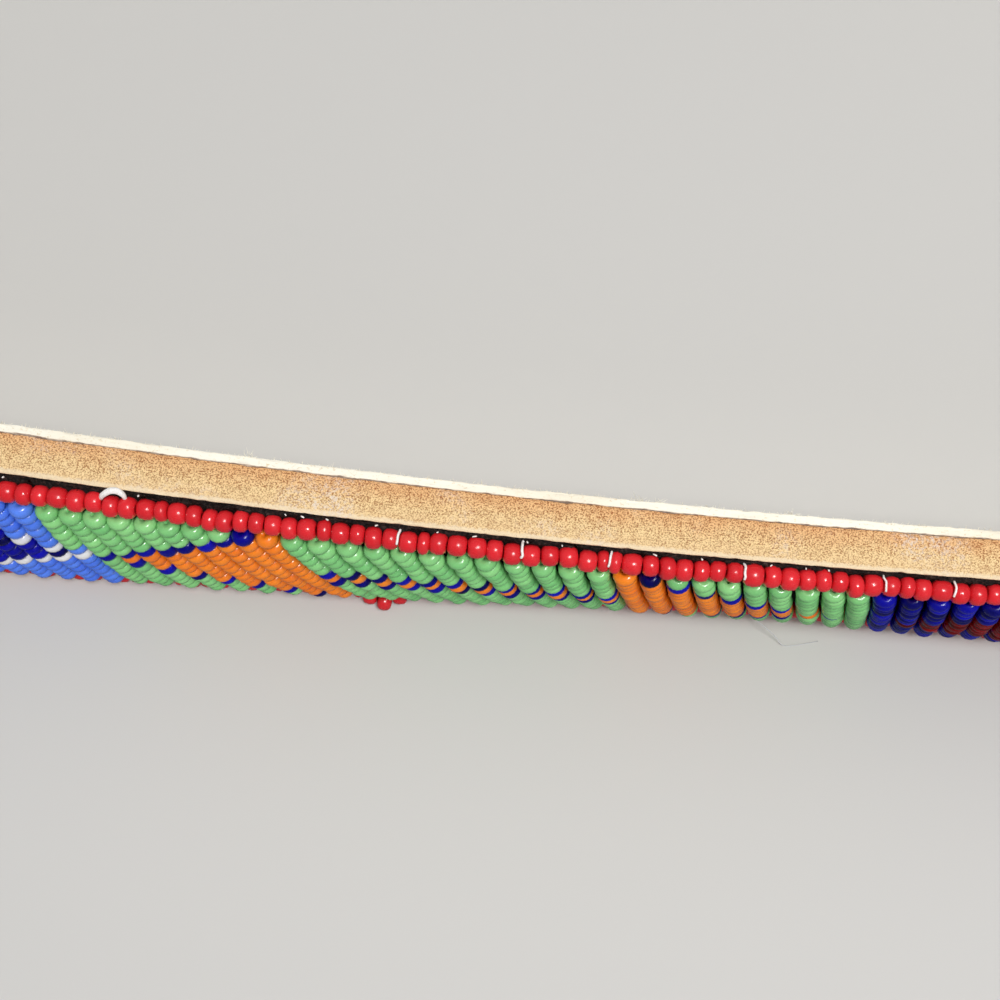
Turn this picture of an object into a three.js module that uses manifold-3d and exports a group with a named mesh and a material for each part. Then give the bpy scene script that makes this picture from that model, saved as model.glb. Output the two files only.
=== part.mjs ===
// A beaded leather belt, buckled and standing on its lower edge in a long oval.
// Units are millimetres, +Z is up, the beads face outwards and the plain lining the waist.
// Every layer is extruded straight along the belt's length and then bent round the oval.
import * as THREE from "three";
import { mergeVertices } from "three/addons/utils/BufferGeometryUtils.js";
import Module from "manifold-3d";

const wasm = await Module();
wasm.setup();

// Strap
const fastenedLength = 900; // round the middle of the core, from the buckle back to it
const strapWidth = 32;
const billetWidth = 22; // of the narrow ends
const coreThickness = 3.6;
const liningThickness = 1.1;
const backingThickness = 1; // of the dark leather under the beads
const backingInset = 3.3; // from the cut edges to the dark leather's, past the edge beads
const backingMargin = 4; // dark leather before the first lane and after the last
const seatGap = 0.3; // between pieces that lie on each other
const sideRadius = 1500; // bow of the two long sides
const endRadius = 72; // of the two round ends of the oval

// Where the strap changes along its length, measured from the buckle
const heelBillet = 30; // narrow up to here behind the buckle,
const heelTaper = 30; // and this much further on at full width
const tipBillet = 72; // narrow from this far before the buckle,
const tipTaper = 30; // after this much of tapering
const riseLength = 57; // over which the tip climbs up on the buckle's clip
const riseOverrun = 6; // it stays up for this much past the clip,
const fallLength = 24; // and then comes down on the fixed end
const tipClearance = 7; // from the tip to the dark leather that it ends before
const tipRound = 14; // length over which the tip narrows
const tipBlunt = 6; // width left at its very end
const holeRadius = 2.3;
const holeSpacing = 25;
const holesEachWay = 2; // before and after the hole in use

// Beads
const beadDiameter = 2.6;
const lanePitch = 3.07;
const lanesInPanel = 32;
const laneEndAngle = 6; // degrees at which a lane rises off the leather
const laneGroove = 0.8; // depth between two lanes
const edgeMargin = 0.36; // from the strap's edge to the edge beads
const panelColours = ["navy", "green", "blue", "green", "navy", "green", "blue"];

// Buckle
const frameLength = 36; // along the belt
const frameBar = 3.4;
const frameThickness = 2.6;
const frameClearance = 1; // between the billet and each side bar
const frameCorner = 4;
const windowCorner = 1.3;
const clipLength = 15; // of the plates that grip the fixed end
const clipPlate = 0.9;
const prongRadius = 1.3;
const prongInset = 7.8; // from the fixed end to the hole in use
const prongOverhang = 3; // past the far bar

// How the standing strap leans: its lower edge comes out by this angle. Places are shares of
// half the beaded length from the middle of the front.
const leanRows = [
  { share: -0.34, degrees: 0 },
  { share: -0.2, degrees: 9 },
  { share: 0.04, degrees: -2.1 },
  { share: 0.12, degrees: -3.5 },
  { share: 0.34, degrees: 0 },
];

// How the lanes slant: a lane's lower end is further along the belt. Places as above.
const slantRows = [
  { share: -1, degrees: 10 },
  { share: -0.14, degrees: 4 },
  { share: -0.05, degrees: 17 },
  { share: 0.05, degrees: 11.5 },
  { share: 0.14, degrees: 16 },
  { share: 1, degrees: 10 },
];

// Facet lengths along the belt, and facets round it
const backFacet = 16; // beside the buckle, where the strap runs plain
const endFacet = 12; // round the ends
const frontFacet = 3.25; // along the front, where the strap leans
const riseFacet = 8; // where it climbs to the buckle
const stringFacet = 8.5; // the least on a string of edge beads
const leastFacet = 0.8; // the least elsewhere
const tipFacetShares = [0.25, 0.5, 0.75, 0.92]; // of the tip's round
const laneFacets = 3;
const roundFacets = 8;
const cornerFacets = 3; // of the buckle frame's corners
const weldDistance = 1e-3; // vertices this near each other are one

// Heights and ways outwards that follow, outwards from the core's middle
const midHeight = strapWidth / 2;
const beadRadius = beadDiameter / 2;
const coreOuter = coreThickness / 2;
const coreInner = -coreOuter;
const liningOuter = coreInner - seatGap;
const liningInner = liningOuter - liningThickness;
const backingInner = coreOuter + seatGap;
const backingOuter = backingInner + backingThickness;
const beadSeat = backingOuter + seatGap;
const edgeBeadsOut = coreOuter + 2 * seatGap + beadRadius; // beside the dark leather
const clipOuter = coreOuter + seatGap + clipPlate;
const clipInner = liningInner - seatGap - clipPlate;
const tipOnClip = clipOuter + seatGap - liningInner;
const tipOnStrap = coreOuter + seatGap - liningInner;

// Lengths that follow
const panelLength = lanesInPanel * lanePitch;
const beadedLength = panelColours.length * panelLength;
const beadedStart = (fastenedLength - beadedLength) / 2;
const beadedEnd = beadedStart + beadedLength;
const tipLength = beadedStart - backingMargin - tipClearance;
const strapLength = fastenedLength + tipLength;

const widthRows = [
  { at: heelBillet, width: billetWidth },
  { at: heelBillet + heelTaper, width: strapWidth },
  { at: fastenedLength - tipBillet - tipTaper, width: strapWidth },
  { at: fastenedLength - tipBillet, width: billetWidth },
];
const riseRows = [
  { at: fastenedLength - clipLength - riseLength, rise: 0 },
  { at: fastenedLength - clipLength, rise: tipOnClip },
  { at: fastenedLength + clipLength + riseOverrun, rise: tipOnClip },
  { at: fastenedLength + clipLength + riseOverrun + fallLength, rise: tipOnStrap },
];

// A value between the rows of a short table, straight from row to row or in smooth steps
function between(rows, key, value, at, smooth) {
  const next = rows.findIndex((row) => at < row[key]);
  if (next === 0) return rows[0][value];
  if (next < 0) return rows.at(-1)[value];
  const low = rows[next - 1];
  const high = rows[next];
  const share = smooth
    ? THREE.MathUtils.smoothstep(at, low[key], high[key])
    : THREE.MathUtils.inverseLerp(low[key], high[key], at);
  return THREE.MathUtils.lerp(low[value], high[value], share);
}

// The oval seen from above, counterclockwise from the buckle: two long arcs and two short
// ones that meet without a corner
const halfSideAngle =
  (fastenedLength / 2 - Math.PI * endRadius) / (2 * (sideRadius - endRadius));
const endCentreX = (sideRadius - endRadius) * Math.sin(halfSideAngle);
const sideCentreY = (sideRadius - endRadius) * Math.cos(halfSideAngle);
const halfSide = sideRadius * halfSideAngle;
const endArc = endRadius * (Math.PI - 2 * halfSideAngle);
const side = { length: halfSide, radius: sideRadius, x: 0, y: -sideCentreY };
const end = { length: endArc, radius: endRadius, y: 0, facet: endFacet };
const ovalArcs = [
  { ...side, facet: backFacet },
  { ...end, x: -endCentreX },
  { ...side, length: 2 * halfSide, y: sideCentreY, facet: frontFacet },
  { ...end, x: endCentreX },
  { ...side, facet: riseFacet },
];

// The point of the core's middle at a distance along the belt, and the way outwards there
function ovalAt(distance) {
  let left = THREE.MathUtils.euclideanModulo(distance, fastenedLength);
  let angle = Math.PI / 2;
  let arc;
  for (arc of ovalArcs) {
    if (left <= arc.length) break;
    left -= arc.length;
    angle += arc.length / arc.radius;
  }
  angle += left / arc.radius;
  const outward = new THREE.Vector3(Math.cos(angle), Math.sin(angle), 0);
  const point = new THREE.Vector3(arc.x, arc.y, 0).addScaledVector(outward, arc.radius);
  return { point, outward };
}

// The slope of the lean or of the lanes' slant at a distance along the belt
function slopeAt(rows, distance) {
  const share = (distance - fastenedLength / 2) / (beadedLength / 2);
  return Math.tan(THREE.MathUtils.degToRad(between(rows, "share", "degrees", share, false)));
}

// Bends a point of the straight belt round the oval. Height is from the lower edge.
function onBelt(distance, height, outwards) {
  const { point, outward } = ovalAt(distance);
  const rise = between(riseRows, "at", "rise", distance, true);
  const lean = (strapWidth - height) * slopeAt(leanRows, distance);
  return point.addScaledVector(outward, outwards + rise + lean).setZ(height);
}

// Where the facets meet. The tip, one lap further on, has them where the fixed end has them,
// and so has every layer, so that facets that face each other stay parallel.
function stationsBetween(start, end, leastLength, extra = []) {
  const stations = [...extra];
  let from = 0;
  for (const arc of [...ovalArcs, ovalArcs[0]]) {
    const facets = Math.round(arc.length / arc.facet);
    for (let i = 0; i < facets; i++) stations.push(from + (i / facets) * arc.length);
    from += arc.length;
  }
  stations.sort((a, b) => a - b);
  const kept = [start];
  for (const station of stations) {
    const clear = station > kept.at(-1) + leastLength && station < end - leastLength;
    if (clear) kept.push(station);
  }
  return [...kept, end];
}

function withoutSeams(geometry) {
  const bare = geometry.clone();
  bare.deleteAttribute("normal");
  bare.deleteAttribute("uv");
  return mergeVertices(bare, weldDistance);
}

// Extrudes a section of (height, outwards) points through the stations. place says where
// a vertex at a station goes.
function sweep(section, stations, place) {
  const spans = stations.length - 1;
  const straight = new THREE.ExtrudeGeometry(new THREE.Shape(section), {
    depth: spans,
    steps: spans,
    bevelEnabled: false,
  });
  const position = straight.getAttribute("position");
  for (let i = 0; i < position.count; i++) {
    const index = Math.round(position.getZ(i));
    const p = place(stations[index], position.getX(i), position.getY(i), index);
    position.setXYZ(i, p.x, p.y, p.z);
  }
  return withoutSeams(straight);
}

function toSolid(geometry) {
  const closed = withoutSeams(geometry);
  return new wasm.Manifold(
    new wasm.Mesh({
      numProp: 3,
      vertProperties: new Float32Array(closed.getAttribute("position").array),
      triVerts: new Uint32Array(closed.index.array),
    }),
  );
}

function toGeometry(solid) {
  const mesh = solid.getMesh();
  const geometry = new THREE.BufferGeometry();
  geometry.setAttribute("position", new THREE.BufferAttribute(mesh.vertProperties, 3));
  geometry.setIndex(new THREE.BufferAttribute(mesh.triVerts, 1));
  return geometry;
}

function rectangle(low, high, inner, outer) {
  return [
    new THREE.Vector2(low, inner),
    new THREE.Vector2(high, inner),
    new THREE.Vector2(high, outer),
    new THREE.Vector2(low, outer),
  ];
}

// The core and the lining run the whole length, from the fixed end to the rounded tip
function widthAt(distance) {
  const width = between(widthRows, "at", "width", distance, true);
  const intoRound = distance - (strapLength - tipRound);
  if (intoRound <= 0) return width;
  return Math.max(tipBlunt, width * Math.sqrt(1 - (intoRound / tipRound) ** 2));
}

function strapLayer(inner, outer) {
  const tipStations = tipFacetShares.map((share) => strapLength - tipRound * (1 - share));
  return sweep(
    rectangle(0, strapWidth, inner, outer),
    stationsBetween(0, strapLength, leastFacet, tipStations),
    (distance, height, outwards) => {
      const fromMiddle = (height - midHeight) * (widthAt(distance) / strapWidth);
      return onBelt(distance, midHeight + fromMiddle, outwards);
    },
  );
}

// Punches the tip's holes square to it, and not the fixed end that it lies on
function punched(geometry) {
  const middle = (coreOuter + liningInner) / 2;
  const depth = coreOuter - liningInner + seatGap;
  let strap = toSolid(geometry);
  for (let i = -holesEachWay; i <= holesEachWay; i++) {
    const at = fastenedLength - prongInset + i * holeSpacing;
    const before = onBelt(at - holeRadius, midHeight, middle);
    const after = onBelt(at + holeRadius, midHeight, middle);
    const centre = onBelt(at, midHeight, middle);
    const turn = Math.atan2(after.y - before.y, after.x - before.x);
    const punch = new THREE.CylinderGeometry(holeRadius, holeRadius, depth, roundFacets);
    punch.rotateZ(turn).translate(centre.x, centre.y, centre.z);
    strap = strap.subtract(toSolid(punch));
  }
  return toGeometry(strap);
}

// Thin dark leather that carries the beads
function beadBacking() {
  const start = beadedStart - backingMargin;
  const end = beadedEnd + backingMargin;
  return sweep(
    rectangle(backingInset, strapWidth - backingInset, backingInner, backingOuter),
    stationsBetween(start, end, leastFacet),
    onBelt,
  );
}

// The lanes are arcs that end on the leather, between the two strings of edge beads
const laneAngle = THREE.MathUtils.degToRad(laneEndAngle);
const laneReach = midHeight - edgeMargin - beadDiameter - seatGap;
const laneRadius = laneReach / Math.sin(laneAngle);
const humpRadius = laneRadius + beadRadius;
const humpCentre = beadSeat + beadRadius - laneRadius * Math.cos(laneAngle);

// One panel of lanes, as a slab that is humped across and has a groove between two lanes
function beadPanel(index) {
  const section = [
    new THREE.Vector2(midHeight - laneReach, beadSeat),
    new THREE.Vector2(midHeight + laneReach, beadSeat),
  ];
  for (let i = laneFacets; i >= 0; i--) {
    const angle = laneAngle * ((2 * i) / laneFacets - 1);
    const reach = THREE.MathUtils.clamp(humpRadius * Math.sin(angle), -laneReach, laneReach);
    const outwards = humpCentre + humpRadius * Math.cos(angle);
    section.push(new THREE.Vector2(midHeight + reach, outwards));
  }
  const start = beadedStart + index * panelLength;
  const halfLanes = 2 * lanesInPanel;
  const stations = [start + seatGap / 2];
  for (let i = 1; i < halfLanes; i++) stations.push(start + (i / 2) * lanePitch);
  stations.push(start + panelLength - seatGap / 2);
  return sweep(section, stations, (distance, height, outwards, station) => {
    const betweenLanes = station % 2 === 0;
    const onHump = outwards > beadSeat + beadRadius;
    const depth = betweenLanes && onHump ? laneGroove : 0;
    const slant = (height - midHeight) * slopeAt(slantRows, distance);
    return onBelt(distance - slant, height, outwards - depth);
  });
}

// The string of edge beads along the upper edge, with upward 1, or the lower one, with -1
function edgeBeads(upward) {
  const reach = upward * (midHeight - edgeMargin - beadRadius);
  const corner = beadRadius / Math.cos(Math.PI / roundFacets);
  const section = [];
  for (let i = 0; i < roundFacets; i++) {
    const angle = ((i + 0.5) / roundFacets) * 2 * Math.PI;
    const height = midHeight + reach + corner * Math.cos(angle);
    const outwards = edgeBeadsOut + corner * Math.sin(angle);
    section.push(new THREE.Vector2(height, outwards));
  }
  const start = beadedStart - reach * slopeAt(slantRows, beadedStart);
  const end = beadedEnd - reach * slopeAt(slantRows, beadedEnd);
  return sweep(section, stationsBetween(start, end, stringFacet), onBelt);
}

// Buckle, in a frame of its own: x from the fixed end to the far bar, y outwards, z up
const windowHeight = billetWidth + 2 * frameClearance;
const barReach = Math.hypot(frameBar, frameThickness) / 2; // of a bar, however it is turned
const heelX = barReach + seatGap;
const heelY = (clipOuter + clipInner) / 2;
const farBarX = frameLength - frameBar / 2;
const underFarBar = fastenedLength - farBarX + barReach;
const riseUnderFarBar = between(riseRows, "at", "rise", underFarBar, true);
const farBarY = riseUnderFarBar + coreOuter + seatGap + barReach;

function roundedOutline(path, length, height, corner) {
  const x = length / 2 - corner;
  const y = height / 2 - corner;
  path.absarc(x, -y, corner, -Math.PI / 2, 0);
  path.absarc(x, y, corner, 0, Math.PI / 2);
  path.absarc(-x, y, corner, Math.PI / 2, Math.PI);
  path.absarc(-x, -y, corner, Math.PI, 1.5 * Math.PI);
  return path;
}

// The frame slants from the heel, level with the fixed end, out over the tip
function buckleFrame() {
  const run = farBarX - heelX;
  const climb = farBarY - heelY;
  const length = Math.hypot(run, climb);
  const outerLength = length + frameBar;
  const outerHeight = windowHeight + 2 * frameBar;
  const innerLength = length - frameBar;
  const outline = roundedOutline(new THREE.Shape(), outerLength, outerHeight, frameCorner);
  const window = roundedOutline(new THREE.Path(), innerLength, windowHeight, windowCorner);
  outline.holes.push(window);
  const frame = new THREE.ExtrudeGeometry(outline, {
    depth: frameThickness,
    bevelEnabled: false,
    curveSegments: cornerFacets,
  });
  frame.translate(0, 0, -frameThickness / 2);
  frame.rotateX(Math.PI / 2);
  frame.rotateZ(Math.atan2(climb, run));
  return frame.translate((heelX + farBarX) / 2, (heelY + farBarY) / 2, midHeight);
}

function plate(x0, x1, y0, y1) {
  const height = billetWidth - 2 * frameClearance;
  const box = new THREE.BoxGeometry(x1 - x0, y1 - y0, height);
  return box.translate((x0 + x1) / 2, (y0 + y1) / 2, midHeight);
}

function rod(from, to) {
  const along = to.clone().sub(from);
  const middle = from.clone().addScaledVector(along, 0.5);
  const upright = new THREE.Vector3(0, 1, 0);
  const turn = new THREE.Quaternion().setFromUnitVectors(upright, along.clone().normalize());
  const bar = new THREE.CylinderGeometry(
    prongRadius,
    prongRadius,
    along.length(),
    roundFacets,
  );
  return bar.applyQuaternion(turn).translate(middle.x, middle.y, middle.z);
}

function knuckle(at) {
  const ball = new THREE.SphereGeometry(prongRadius, roundFacets, roundFacets / 2);
  return ball.translate(at.x, at.y, at.z);
}

// The prong comes from the heel, up through the hole in use and on to the far bar
function buckle() {
  const underTip = liningInner + tipOnClip - seatGap - prongRadius;
  const overTip = coreOuter + tipOnClip + seatGap + prongRadius;
  const overBar = farBarY + (frameThickness + prongRadius) / 2;
  const root = new THREE.Vector3(heelX, heelY, midHeight);
  const under = new THREE.Vector3(prongInset, underTip, midHeight);
  const over = new THREE.Vector3(prongInset, overTip, midHeight);
  const point = new THREE.Vector3(frameLength + prongOverhang, overBar, midHeight);
  const pieces = [
    buckleFrame(),
    plate(seatGap, heelX, clipInner, clipOuter),
    plate(-clipLength, heelX, clipOuter - clipPlate, clipOuter),
    plate(-clipLength, heelX, clipInner, clipInner + clipPlate),
    rod(root, under),
    knuckle(under),
    rod(under, over),
    knuckle(over),
    rod(over, point),
    knuckle(point),
  ];
  return toGeometry(pieces.map(toSolid).reduce((joined, next) => joined.add(next)));
}

const finishes = {
  tanLeather: { color: 0xc79a62, roughness: 0.85, metalness: 0 },
  creamLining: { color: 0xf0e6cc, roughness: 0.9, metalness: 0 },
  darkLeather: { color: 0x1c130f, roughness: 0.75, metalness: 0 },
  red: { color: 0xd8222b, roughness: 0.25, metalness: 0 },
  green: { color: 0x74cf86, roughness: 0.25, metalness: 0 },
  blue: { color: 0x4a78e8, roughness: 0.25, metalness: 0 },
  navy: { color: 0x0a0a78, roughness: 0.12, metalness: 0 },
  steel: { color: 0xb9b6ae, roughness: 0.3, metalness: 1 },
};

function piece(name, geometry, finish) {
  const material = new THREE.MeshStandardMaterial({ ...finishes[finish], flatShading: true });
  const mesh = new THREE.Mesh(geometry, material);
  mesh.name = name;
  return mesh;
}

const belt = new THREE.Group();
belt.add(piece("strap_core", punched(strapLayer(coreInner, coreOuter)), "tanLeather"));
belt.add(piece("back_lining", punched(strapLayer(liningInner, liningOuter)), "creamLining"));
belt.add(piece("bead_backing", beadBacking(), "darkLeather"));
panelColours.forEach((colour, index) => {
  belt.add(piece(`bead_panel_${index + 1}_${colour}`, beadPanel(index), colour));
});
belt.add(piece("edge_beads_top", edgeBeads(1), "red"));
belt.add(piece("edge_beads_bottom", edgeBeads(-1), "red"));

// The buckle stands at the middle of the back, where the way outwards is +Y
const clasp = piece("buckle", buckle(), "steel");
clasp.position.copy(ovalAt(0).point);
belt.add(clasp);

// The origin is under the middle of the belt's box, on the surface that it stands on
belt.updateMatrixWorld(true);
const bounds = new THREE.Box3().setFromObject(belt);
const centre = bounds.getCenter(new THREE.Vector3());
belt.position.set(-centre.x, -centre.y, -bounds.min.z);

export default belt;
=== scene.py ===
# %% [markdown]
# # A beaded leather belt
#
# The belt stands on its lower edge, buckled into a long oval. A thick tan core carries a
# cream lining on the waist side and a thin dark leather outside. On the dark leather lie
# lanes of glass seed beads, and a string of red beads runs along each edge.
#
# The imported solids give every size. This script dresses them: thousands of separate beads,
# cut leather edges with fibres, thread, and a finish for every surface.

# %% The frame and the tools
import math

import bpy
import numpy as np
from mathutils import Matrix, Vector, kdtree


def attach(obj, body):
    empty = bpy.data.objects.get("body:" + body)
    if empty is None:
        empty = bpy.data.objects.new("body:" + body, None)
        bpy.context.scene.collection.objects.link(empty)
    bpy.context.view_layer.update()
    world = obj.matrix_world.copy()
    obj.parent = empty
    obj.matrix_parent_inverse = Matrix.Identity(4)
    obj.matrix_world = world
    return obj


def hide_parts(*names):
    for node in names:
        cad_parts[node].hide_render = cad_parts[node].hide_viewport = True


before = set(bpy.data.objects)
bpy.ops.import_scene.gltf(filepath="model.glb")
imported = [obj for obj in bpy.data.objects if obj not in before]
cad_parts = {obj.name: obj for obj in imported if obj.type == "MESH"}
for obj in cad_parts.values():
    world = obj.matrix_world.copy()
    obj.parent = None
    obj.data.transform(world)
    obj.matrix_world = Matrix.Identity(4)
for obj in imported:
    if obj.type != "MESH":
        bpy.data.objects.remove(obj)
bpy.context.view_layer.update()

# %% [markdown]
# ## Named sizes
#
# The same sizes as in the solids, in millimetres, so that each piece made here lies where
# its solid lies. Only at the very end does a mesh turn millimetres into Blender's metres.

# %% Named sizes
MM = 0.001
fastened_length = 900.0  # round the middle of the core
strap_width = 32.0
billet_width = 22.0
core_thickness = 3.6
lining_thickness = 1.1
backing_thickness = 1.0
backing_margin = 4.0
seat_gap = 0.3
side_radius = 1500.0
end_radius = 72.0
tip_clearance = 7.0
tip_round = 14.0  # length over which the tip narrows
tip_blunt = 6.0  # width left at its very end
clip_plate = 0.9

bead_diameter = 2.6
lane_pitch = 3.07
lanes_in_panel = 32
beads_in_lane = 15
lane_end_angle = math.radians(6)
edge_margin = 0.36
edge_pitch = 1.86
panel_colours = ["navy", "green", "blue", "green", "navy", "green", "blue"]

mid_height = strap_width / 2
bead_radius = bead_diameter / 2
core_outer = core_thickness / 2
lining_inner = -core_outer - seat_gap - lining_thickness
bead_seat = core_outer + seat_gap + backing_thickness + seat_gap
edge_beads_out = core_outer + 2 * seat_gap + bead_radius
panel_length = lanes_in_panel * lane_pitch
beaded_length = len(panel_colours) * panel_length
beaded_start = (fastened_length - beaded_length) / 2
beaded_end = beaded_start + beaded_length
front_middle = fastened_length / 2
tip_length = beaded_start - backing_margin - tip_clearance
strap_length = fastened_length + tip_length
print(f"beaded stretch {beaded_length:.1f} mm, strap {strap_length:.1f} mm")

# %% [markdown]
# ## The path of the belt
#
# The belt is made straight and then bent round the oval, which is how a real one is worked:
# flat on the bench first. A place on it is a distance along the belt from the buckle, a
# height above the lower edge, and a way outwards from the middle of the core. Short tables
# say where the strap leans and how the lanes slant, and run straight from row to row. Two
# more say how wide the strap is and how its tip climbs, in smooth steps.

# %% Tables along the belt
# share of half the beaded length from the front's middle, degrees of lean or slant
lean_rows = np.array([(-0.34, 0), (-0.2, 9), (0.04, -2.1), (0.12, -3.5), (0.34, 0)])
slant_rows = np.array([(-1, 10), (-0.14, 4), (-0.05, 17), (0.05, 11.5), (0.14, 16), (1, 10)])
# distance from the buckle, width or rise in mm
width_rows = np.array([(30.0, 22.0), (60.0, 32.0), (798.0, 32.0), (828.0, 22.0)])
clip_outer = core_outer + seat_gap + clip_plate
tip_on_clip = clip_outer + seat_gap - lining_inner
tip_on_strap = core_outer + seat_gap - lining_inner
rise_rows = np.array([
    (828.0, 0), (885.0, tip_on_clip), (921.0, tip_on_clip), (945.0, tip_on_strap)])


def smooth(share):
    return share * share * (3 - 2 * share)


def between(rows, at):
    """A smooth value between the rows of a (place, value) table."""
    places, values = rows[:, 0], rows[:, 1]
    low = np.clip(np.searchsorted(places, at, side="right") - 1, 0, len(places) - 2)
    share = smooth(np.clip((at - places[low]) / (places[low + 1] - places[low]), 0, 1))
    return values[low] + (values[low + 1] - values[low]) * share


def slope_at(rows, distance):
    share = (distance - front_middle) / (beaded_length / 2)
    return np.tan(np.radians(np.interp(share, rows[:, 0], rows[:, 1])))


# %% The oval: two long arcs and two short ones that meet without a corner
half_side_angle = (front_middle - math.pi * end_radius) / (2 * (side_radius - end_radius))
end_centre_x = (side_radius - end_radius) * math.sin(half_side_angle)
side_centre_y = (side_radius - end_radius) * math.cos(half_side_angle)
half_side = side_radius * half_side_angle
end_arc = end_radius * (math.pi - 2 * half_side_angle)
# length, radius, centre x, centre y
oval_arcs = np.array([
    (half_side, side_radius, 0, -side_centre_y),
    (end_arc, end_radius, -end_centre_x, 0),
    (2 * half_side, side_radius, 0, side_centre_y),
    (end_arc, end_radius, end_centre_x, 0),
    (half_side, side_radius, 0, -side_centre_y),
])
arc_lengths, arc_radii, arc_centres = oval_arcs[:, 0], oval_arcs[:, 1], oval_arcs[:, 2:]
arc_starts = np.concatenate([[0], np.cumsum(arc_lengths[:-1])])
arc_turns = np.cumsum(arc_lengths[:-1] / arc_radii[:-1])
arc_angles = math.pi / 2 + np.concatenate([[0], arc_turns])
belt_shift = np.array([0.00032, -1.81775])  # puts the origin under the middle of the belt's box


def on_belt(distance, height, outwards):
    """Points in mm for places on the straight belt."""
    places = (np.asarray(v, float) for v in (distance, height, outwards))
    distance, height, outwards = np.broadcast_arrays(*places)
    lap = np.mod(distance, fastened_length)
    arc = np.clip(np.searchsorted(arc_starts, lap, side="right") - 1, 0, 4)
    angle = arc_angles[arc] + (lap - arc_starts[arc]) / arc_radii[arc]
    reach = outwards + between(rise_rows, distance)
    reach = reach + (strap_width - height) * slope_at(lean_rows, distance)
    out = np.stack([np.cos(angle), np.sin(angle)], -1)
    flat = arc_centres[arc] + out * (arc_radii[arc] + reach)[..., None] + belt_shift
    return np.concatenate([flat, height[..., None]], -1)


# %% [markdown]
# ## Making meshes from arrays
#
# A belt like this holds thousands of beads. One object per bead would choke Blender, so
# each panel is one mesh that is put together from arrays. Two things are stored on the
# points for the finishes: on leather the place on the straight belt, so that grain and
# fibres follow the strap round the oval, and on glass a number per bead, so that neighbours
# differ.

# %% A mesh piece
def make_piece(name, points, faces, materials, slots=None, rounded=True, **values):
    """An object from points in mm. values has a place or a shade for every point."""
    mesh = bpy.data.meshes.new(name)
    mesh.from_pydata(np.asarray(points) * MM, [], faces)
    for material in materials:
        mesh.materials.append(material)
    if slots is not None:
        mesh.polygons.foreach_set("material_index", np.asarray(slots, np.int32))
    mesh.polygons.foreach_set("use_smooth", np.full(len(mesh.polygons), rounded))
    for key, kind, field in (("place", "FLOAT_VECTOR", "vector"), ("shade", "FLOAT", "value")):
        if key in values:
            layer = mesh.attributes.new(key, kind, "POINT")
            layer.data.foreach_set(field, np.asarray(values[key], np.float32).ravel())
    mesh.update()
    made = bpy.data.objects.new(name, mesh)
    bpy.context.scene.collection.objects.link(made)
    triangles = sum(len(p.vertices) - 2 for p in mesh.polygons)
    print(f"{name}: {len(mesh.polygons)} faces, {triangles} triangles")
    return made


def finish_piece(piece, slot, *nodes):
    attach(piece, "root")
    if nodes:
        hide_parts(*nodes)


# %% Rings, tubes and curves
def unit(vectors):
    return vectors / np.linalg.norm(vectors, axis=1)[:, None]


def full_turn(sides):
    return np.arange(sides) / sides * 2 * math.pi


def ring_faces(rings, count, first=0, closed=False, turned=False):
    """Quads between rings of count points, and end caps unless the rings close."""
    faces = []
    for i in range(rings if closed else rings - 1):
        here, there = first + i * count, first + (i + 1) % rings * count
        for j in range(count):
            k = (j + 1) % count
            quad = (here + j, here + k, there + k, there + j)
            faces.append(quad[:1] + quad[:0:-1] if turned else quad)
    if not closed:
        caps = tuple(range(count)), tuple((rings - 1) * count + i for i in range(count))
        for cap, backwards in zip(caps, (not turned, turned)):
            cap = tuple(first + i for i in cap)
            faces.append(cap[::-1] if backwards else cap)
    return faces


def tubes(paths, radii, sides):
    """Points and faces of round tubes along paths of points in mm."""
    all_points, all_faces = [], []
    start = 0
    for path, radius in zip(paths, radii):
        path = np.asarray(path, float)
        along = unit(np.gradient(path, axis=0))
        side = unit(np.cross(along, (0.31, 0.22, 0.93)))  # a way that no path here takes
        up = np.cross(side, along)
        turn = full_turn(sides)[None, :, None]
        thick = np.broadcast_to(radius, len(path))[:, None, None]
        ring = np.cos(turn) * side[:, None] + np.sin(turn) * up[:, None]
        all_points.append((path[:, None] + ring * thick).reshape(-1, 3))
        all_faces += ring_faces(len(path), sides, start, turned=True)
        start += len(path) * sides
    return np.concatenate(all_points), all_faces


def smooth_path(points, steps):
    """A curve through a few points, as many points."""
    points = np.asarray(points, float)
    before, after = 2 * points[0] - points[1], 2 * points[-1] - points[-2]
    padded = np.concatenate([[before], points, [after]])
    t = np.linspace(0, 1, steps, endpoint=False)[:, None]
    parts = []
    for a, b, c, d in zip(padded, padded[1:], padded[2:], padded[3:]):
        squares = (2 * a - 5 * b + 4 * c - d) * t**2
        parts.append(0.5 * (2 * b + (c - a) * t + squares + (3 * b - a - 3 * c + d) * t**3))
    return np.concatenate([*parts, points[-1:]])


# %% [markdown]
# ## Finishes: helpers and shared effects
#
# A finish is a tree of shader nodes. An effect that several finishes share, such as fibres,
# scuffs or the small differences between beads, is a node group that is built once and
# placed with its own values. The groups give only colours, masks and heights. The surface
# shader itself stays in each material.

# %% Node helpers
def colour(red, green, blue):
    """A screen colour, 0 to 255, as Blender's linear colour."""
    def linear(value):
        value /= 255
        return value / 12.92 if value <= 0.04045 else ((value + 0.055) / 1.055) ** 2.4
    return (linear(red), linear(green), linear(blue), 1.0)


def feed(tree, socket, value):
    """Links a value that comes from another node, or sets a plain one."""
    if isinstance(value, bpy.types.NodeSocket):
        tree.links.new(value, socket)
    else:
        socket.default_value = value


def node(tree, kind, inputs=None, **settings):
    made = tree.nodes.new("ShaderNode" + kind)
    for key, value in settings.items():
        setattr(made, key, value)
    for key, value in (inputs or {}).items():
        feed(tree, made.inputs[key], value)
    return made


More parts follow.
